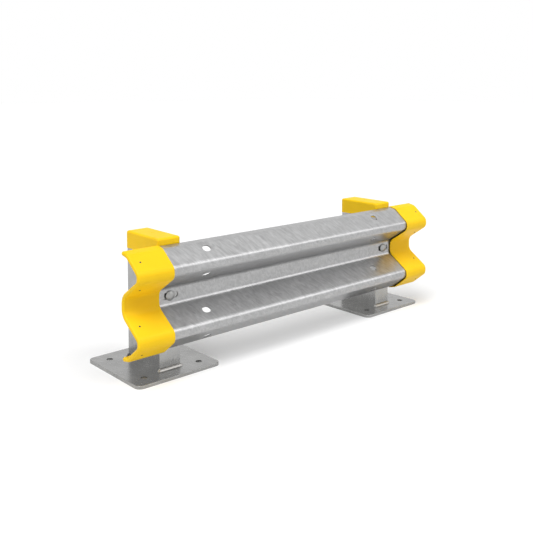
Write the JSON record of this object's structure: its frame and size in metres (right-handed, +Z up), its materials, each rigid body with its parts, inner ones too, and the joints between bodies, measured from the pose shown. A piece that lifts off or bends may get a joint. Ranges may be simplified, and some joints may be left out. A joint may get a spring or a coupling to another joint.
{
  "type": "industrial guard rail",
  "caption": "Low floor-mounted guard rail: a short W-profile steel rail bolted to channel posts on square base plates, with yellow moulded caps on the rail's ends and the post tops.",
  "frame": {"origin": "on the floor, midway between the centres of the two base plates' undersides", "axes": "+X along the rail, towards the right-hand end for someone who faces the rail; -Y is the side that the rail faces; +Z is up"},
  "size_m": [1.33, 0.3297, 0.415],
  "materials": {
    "galvanised_sheet": "hot-dip galvanised, satin, with faint diagonal streaks",
    "galvanised_plate": "hot-dip galvanised, satin",
    "galvanised_post": "hot-dip galvanised, satin",
    "weld_metal": "galvanised fillet bead",
    "fastener_zinc": "zinc plated, slightly dull",
    "yellow_post_cap": "moulded, satin",
    "yellow_end_cap": "moulded, satin",
    "cap_screw": "dark coated"
  },
  "bodies": {
    "root": {"rail": "galvanised_sheet", "left_base_plate": "galvanised_plate", "left_post": "galvanised_post", "left_front_weld": "weld_metal", "left_back_weld": "weld_metal", "left_rail_bolt": "fastener_zinc", "left_rail_washer": "fastener_zinc", "left_rail_nut": "fastener_zinc", "left_post_cap": "yellow_post_cap", "left_end_cap": "yellow_end_cap", "left_end_cap_screws": "cap_screw", "right_base_plate": "galvanised_plate", "right_post": "galvanised_post", "right_front_weld": "weld_metal", "right_back_weld": "weld_metal", "right_rail_bolt": "fastener_zinc", "right_rail_washer": "fastener_zinc", "right_rail_nut": "fastener_zinc", "right_post_cap": "yellow_post_cap", "right_end_cap": "yellow_end_cap", "right_end_cap_screws": "cap_screw"}
  },
  "joints": []
}
